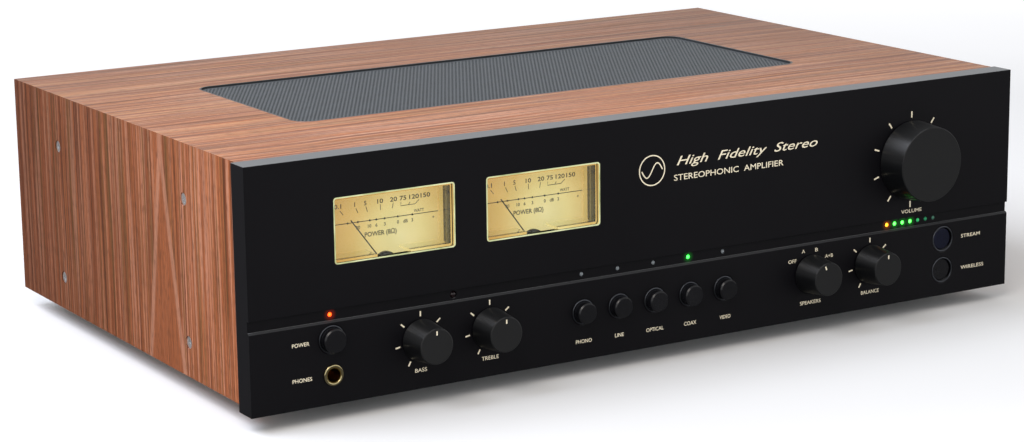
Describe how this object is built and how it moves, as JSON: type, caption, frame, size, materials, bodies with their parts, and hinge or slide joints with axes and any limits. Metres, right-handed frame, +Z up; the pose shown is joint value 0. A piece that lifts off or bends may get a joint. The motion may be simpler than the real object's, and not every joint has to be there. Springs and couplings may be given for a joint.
{
  "type": "integrated amplifier",
  "caption": "Wood-cased stereo integrated amplifier with lit level meters, rotary tone and volume controls, and push-button source selection.",
  "frame": {"origin": "on the floor, under the middle of the whole outline", "axes": "+X along the width to the right as seen from the front, +Y from the front panel to the rear, +Z up"},
  "size_m": [0.435, 0.308, 0.121],
  "materials": {
    "veneer_top": "straight-grained walnut veneer, satin lacquer",
    "veneer_side": "straight-grained walnut veneer, satin lacquer",
    "zinc_steel": "bright zinc plated",
    "mesh": "dark blue-grey fine mesh",
    "dark_trim": "dark satin trim",
    "black_anodised": "satin black anodised",
    "plated_steel": "zinc plated sheet",
    "black_steel": "fine textured black paint",
    "foot_plastic": "matt black",
    "clear_acrylic": "clear, faintly green at its edges",
    "dial_paper": "warm yellow, lit from behind",
    "meter_black": "satin black",
    "knob_black": "satin black, turned",
    "shaft_steel": "ground",
    "control_metal": "stamped, zinc plated",
    "button_black": "satin-gloss black",
    "lamp_lens": "diffuse lens",
    "eye_lens": "dark infra-red lens",
    "circuit_green": "solder mask",
    "gilt_brass": "gold plated",
    "winding": "polyester tape over copper",
    "sink_black": "black anodised",
    "capacitor_sleeve": "shrink sleeve",
    "tin_shell": "tinned",
    "post_plastic": "moulded black",
    "cap_red": "moulded red",
    "cap_black": "moulded black",
    "mains_plastic": "moulded black"
  },
  "bodies": {
    "case": {"case_top": "veneer_top", "case_side_left": "veneer_side", "case_side_right": "veneer_side", "case_screws": "zinc_steel", "vent_grille": "mesh", "grille_frame": "dark_trim", "front_panel": "black_anodised", "sub_panel": "plated_steel", "chassis": "plated_steel", "rear_panel": "black_steel", "feet": "foot_plastic", "steel_fasteners": "zinc_steel", "meter_covers": "clear_acrylic", "meter_dials": "dial_paper", "meter_movements": "meter_black", "rotary_controls": "control_metal", "control_nuts": "zinc_steel", "indicator_lamps": "lamp_lens", "remote_eye": "eye_lens", "front_board": "circuit_green", "phones_socket": "gilt_brass", "transformer": "winding", "heat_sink": "sink_black", "circuit_boards": "circuit_green", "capacitors": "capacitor_sleeve", "phono_sockets": "gilt_brass", "digital_sockets": "tin_shell", "post_bases": "post_plastic", "post_studs": "gilt_brass", "mains_inlet": "mains_plastic"},
    "meter_needle_left": {"meter_needle_left": "meter_black"},
    "meter_needle_right": {"meter_needle_right": "meter_black"},
    "volume": {"volume_knob": "knob_black", "volume_shaft": "shaft_steel"},
    "bass": {"bass_knob": "knob_black", "bass_shaft": "shaft_steel"},
    "treble": {"treble_knob": "knob_black", "treble_shaft": "shaft_steel"},
    "balance": {"balance_knob": "knob_black", "balance_shaft": "shaft_steel"},
    "speakers": {"speakers_knob": "knob_black", "speakers_shaft": "shaft_steel"},
    "power": {"power_button": "button_black"},
    "phono": {"phono_button": "button_black"},
    "line": {"line_button": "button_black"},
    "optical": {"optical_button": "button_black"},
    "coax": {"coax_button": "button_black"},
    "video": {"video_button": "button_black"},
    "stream": {"stream_button": "button_black"},
    "wireless": {"wireless_button": "button_black"},
    "cap_a_left_red": {"cap_a_left_red": "cap_red"},
    "cap_a_left_black": {"cap_a_left_black": "cap_black"},
    "cap_a_right_red": {"cap_a_right_red": "cap_red"},
    "cap_a_right_black": {"cap_a_right_black": "cap_black"},
    "cap_b_left_red": {"cap_b_left_red": "cap_red"},
    "cap_b_left_black": {"cap_b_left_black": "cap_black"},
    "cap_b_right_red": {"cap_b_right_red": "cap_red"},
    "cap_b_right_black": {"cap_b_right_black": "cap_black"},
    "ground_nut": {"ground_nut": "zinc_steel"},
    "mains_rocker": {"mains_rocker": "mains_plastic"}
  },
  "joints": [
    {"name": "volume_turn", "type": "hinge", "parent": "case", "child": "volume", "pos_m": [0.1529, -0.15402, 0.0816], "axis": [0, 1, 0], "continuous": true},
    {"name": "bass_turn", "type": "hinge", "parent": "case", "child": "bass", "pos_m": [-0.1315, -0.15252, 0.0311], "axis": [0, 1, 0], "range_deg": [-150, 150]},
    {"name": "treble_turn", "type": "hinge", "parent": "case", "child": "treble", "pos_m": [-0.0949, -0.15252, 0.0311], "axis": [0, 1, 0], "range_deg": [-150, 150]},
    {"name": "balance_turn", "type": "hinge", "parent": "case", "child": "balance", "pos_m": [0.1275, -0.15252, 0.0311], "axis": [0, 1, 0], "range_deg": [-150, 150]},
    {"name": "speakers_turn", "type": "hinge", "parent": "case", "child": "speakers", "pos_m": [0.0903, -0.15252, 0.0311], "axis": [0, 1, 0], "range_deg": [-36, 72]},
    {"name": "meter_swing_left", "type": "hinge", "parent": "case", "child": "meter_needle_left", "pos_m": [-0.1433, -0.12802, 0.0661], "axis": [0, 1, 0], "range_deg": [0, 78], "stiffness_Nm_per_rad": 0.0002, "springref_deg": -8.59},
    {"name": "meter_swing_right", "type": "hinge", "parent": "case", "child": "meter_needle_right", "pos_m": [-0.0648, -0.12802, 0.0661], "axis": [0, 1, 0], "range_deg": [0, 78], "stiffness_Nm_per_rad": 0.0002, "springref_deg": -8.59},
    {"name": "power_press", "type": "slide", "parent": "case", "child": "power", "axis": [0, 1, 0], "range_m": [0, 0.0012], "stiffness_N_per_m": 400, "springref_m": -0.001},
    {"name": "phono_press", "type": "slide", "parent": "case", "child": "phono", "axis": [0, 1, 0], "range_m": [0, 0.0012], "stiffness_N_per_m": 400, "springref_m": -0.001},
    {"name": "line_press", "type": "slide", "parent": "case", "child": "line", "axis": [0, 1, 0], "range_m": [0, 0.0012], "stiffness_N_per_m": 400, "springref_m": -0.001},
    {"name": "optical_press", "type": "slide", "parent": "case", "child": "optical", "axis": [0, 1, 0], "range_m": [0, 0.0012], "stiffness_N_per_m": 400, "springref_m": -0.001},
    {"name": "coax_press", "type": "slide", "parent": "case", "child": "coax", "axis": [0, 1, 0], "range_m": [0, 0.0012], "stiffness_N_per_m": 400, "springref_m": -0.001},
    {"name": "video_press", "type": "slide", "parent": "case", "child": "video", "axis": [0, 1, 0], "range_m": [0, 0.0012], "stiffness_N_per_m": 400, "springref_m": -0.001},
    {"name": "stream_press", "type": "slide", "parent": "case", "child": "stream", "axis": [0, 1, 0], "range_m": [0, 0.0006], "stiffness_N_per_m": 400, "springref_m": -0.001},
    {"name": "wireless_press", "type": "slide", "parent": "case", "child": "wireless", "axis": [0, 1, 0], "range_m": [0, 0.0006], "stiffness_N_per_m": 400, "springref_m": -0.001},
    {"name": "cap_a_left_red_unscrew", "type": "slide", "parent": "case", "child": "cap_a_left_red", "axis": [0, 1, 0], "range_m": [0, 0.005]},
    {"name": "cap_a_left_black_unscrew", "type": "slide", "parent": "case", "child": "cap_a_left_black", "axis": [0, 1, 0], "range_m": [0, 0.005]},
    {"name": "cap_a_right_red_unscrew", "type": "slide", "parent": "case", "child": "cap_a_right_red", "axis": [0, 1, 0], "range_m": [0, 0.005]},
    {"name": "cap_a_right_black_unscrew", "type": "slide", "parent": "case", "child": "cap_a_right_black", "axis": [0, 1, 0], "range_m": [0, 0.005]},
    {"name": "cap_b_left_red_unscrew", "type": "slide", "parent": "case", "child": "cap_b_left_red", "axis": [0, 1, 0], "range_m": [0, 0.005]},
    {"name": "cap_b_left_black_unscrew", "type": "slide", "parent": "case", "child": "cap_b_left_black", "axis": [0, 1, 0], "range_m": [0, 0.005]},
    {"name": "cap_b_right_red_unscrew", "type": "slide", "parent": "case", "child": "cap_b_right_red", "axis": [0, 1, 0], "range_m": [0, 0.005]},
    {"name": "cap_b_right_black_unscrew", "type": "slide", "parent": "case", "child": "cap_b_right_black", "axis": [0, 1, 0], "range_m": [0, 0.005]},
    {"name": "ground_nut_unscrew", "type": "slide", "parent": "case", "child": "ground_nut", "axis": [0, 1, 0], "range_m": [0, 0.003]},
    {"name": "mains_rock", "type": "hinge", "parent": "case", "child": "mains_rocker", "pos_m": [-0.1235, 0.12998, 0.05], "axis": [1, 0, 0], "range_deg": [-22, 0]}
  ]
}
